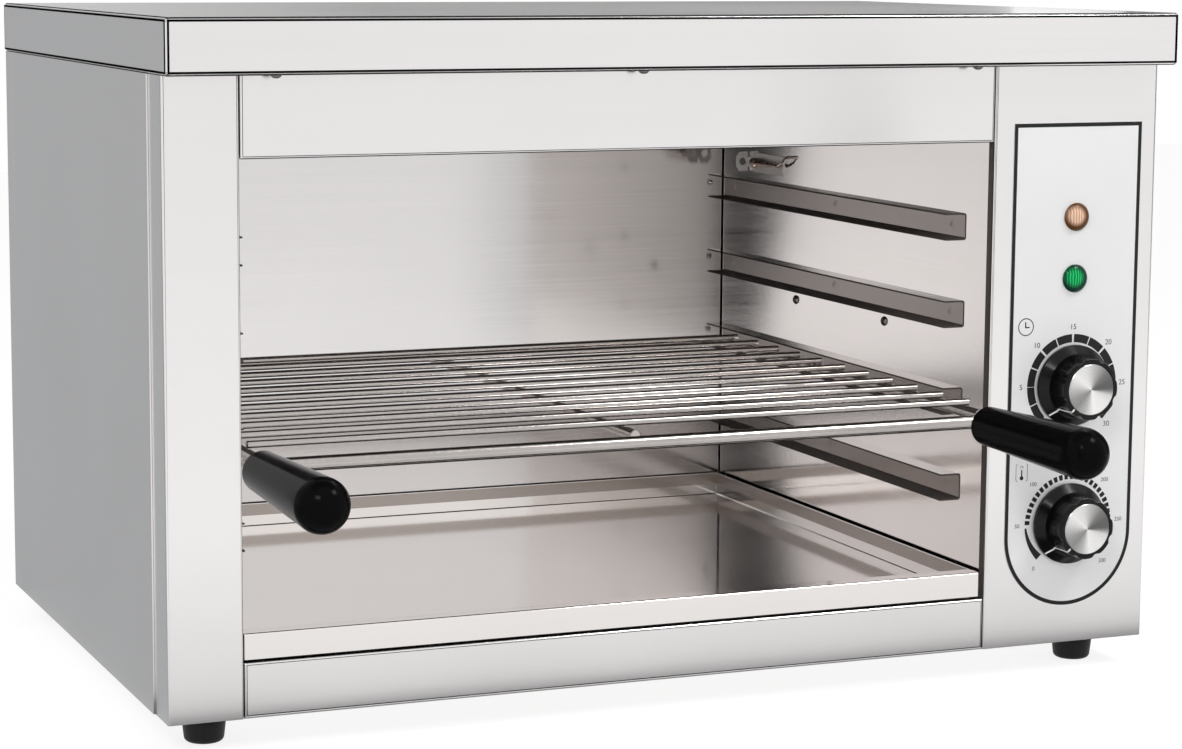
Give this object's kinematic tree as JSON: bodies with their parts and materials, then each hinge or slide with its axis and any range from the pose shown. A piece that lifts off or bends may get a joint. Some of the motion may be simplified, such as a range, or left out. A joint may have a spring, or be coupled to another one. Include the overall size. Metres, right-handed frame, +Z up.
{
  "type": "cheese melter",
  "caption": "Table-top grill in brushed steel with an open front, a pull-out wire rack on black handles, a crumb tray, rack rails and a control column with two knobs and two lamps.",
  "frame": {"origin": "centre of the whole footprint, with the handles at the front and the cable gland at the back, at the height of the table", "axes": "+X to the right, -Y to the front where the handles and knobs are, +Z up"},
  "size_m": [0.604, 0.522, 0.39],
  "materials": {
    "stainless_panel": "satin brushed stainless sheet, grain along the panels",
    "stainless_chamber": "semi-bright stainless sheet",
    "stainless_tray": "bright stainless sheet",
    "rail_steel": "plain stainless channel, slightly darkened by heat",
    "plain_steel": "plain zinc-coated sheet",
    "fastener_steel": "plain steel fasteners",
    "wire_steel": "drawn bright steel wire",
    "handle_black": "polished black phenolic",
    "knob_black": "satin black moulded plastic",
    "cap_aluminium": "spun aluminium disc",
    "foot_rubber": "matt black rubber",
    "plate_film": "printed plate with a black border line and scales",
    "lens_amber": "moulded prismatic lens",
    "lens_green": "moulded prismatic lens",
    "bezel_black": "moulded lamp ring",
    "element_steel": "oxidised heater tube",
    "nut_brass": "turned brass",
    "capillary_copper": "drawn copper tube",
    "insulation_wool": "pressed mineral wool",
    "ceramic_white": "glazed ceramic",
    "switch_case": "moulded switch housing",
    "wire_insulation": "silicone wire insulation",
    "gland_black": "moulded polyamide"
  },
  "bodies": {
    "cabinet": {"base_pan": "plain_steel", "left_column": "stainless_panel", "control_panel": "stainless_panel", "left_side_panel": "stainless_panel", "right_side_panel": "stainless_panel", "back_panel": "stainless_panel", "rear_screws": "fastener_steel", "top_cover": "stainless_panel", "cover_screws": "fastener_steel", "top_fascia": "stainless_panel", "bottom_fascia": "stainless_panel", "foot_front_left": "foot_rubber", "foot_front_right": "foot_rubber", "foot_rear_left": "foot_rubber", "foot_rear_right": "foot_rubber", "foot_screws": "fastener_steel", "chamber_left_wall": "stainless_chamber", "chamber_right_wall": "stainless_chamber", "chamber_back_wall": "stainless_chamber", "chamber_ceiling": "plain_steel", "chamber_floor": "stainless_chamber", "insulation_mat": "insulation_wool", "rail_left_1": "rail_steel", "rail_left_2": "rail_steel", "rail_left_3": "rail_steel", "rail_left_4": "rail_steel", "rail_right_1": "rail_steel", "rail_right_2": "rail_steel", "rail_right_3": "rail_steel", "rail_right_4": "rail_steel", "rail_rivets": "rail_steel", "heating_element_1": "element_steel", "heating_element_2": "element_steel", "heating_element_3": "element_steel", "element_nuts": "nut_brass", "element_hangers": "plain_steel", "thermostat_bulb": "capillary_copper", "bulb_bracket": "stainless_chamber", "wall_screws": "fastener_steel", "terminal_bracket": "plain_steel", "terminal_block": "ceramic_white", "wiring": "wire_insulation", "cable_gland": "gland_black", "control_plate": "plate_film", "timer_switch": "switch_case", "thermostat_switch": "switch_case", "amber_lens": "lens_amber", "green_lens": "lens_green", "lamp_bezels": "bezel_black", "lamp_sockets": "gland_black"},
    "rack": {"rack": "wire_steel", "handle_left": "handle_black", "handle_right": "handle_black"},
    "crumb_tray": {"crumb_tray": "stainless_tray"},
    "timer_control": {"timer_knob": "knob_black", "timer_knob_cap": "cap_aluminium", "timer_shaft": "fastener_steel"},
    "thermostat_control": {"thermostat_knob": "knob_black", "thermostat_knob_cap": "cap_aluminium", "thermostat_shaft": "fastener_steel"}
  },
  "joints": [
    {"name": "rack_slide", "type": "slide", "parent": "cabinet", "child": "rack", "axis": [0, -1, 0], "range_m": [0, 0.3]},
    {"name": "tray_slide", "type": "slide", "parent": "cabinet", "child": "crumb_tray", "axis": [0, -1, 0], "range_m": [0, 0.32]},
    {"name": "timer_turn", "type": "hinge", "parent": "cabinet", "child": "timer_control", "pos_m": [0.247, -0.1309, 0.1724], "axis": [0, 1, 0], "range_deg": [0, 270]},
    {"name": "thermostat_turn", "type": "hinge", "parent": "cabinet", "child": "thermostat_control", "pos_m": [0.247, -0.1309, 0.09], "axis": [0, 1, 0], "range_deg": [0, 270]}
  ]
}
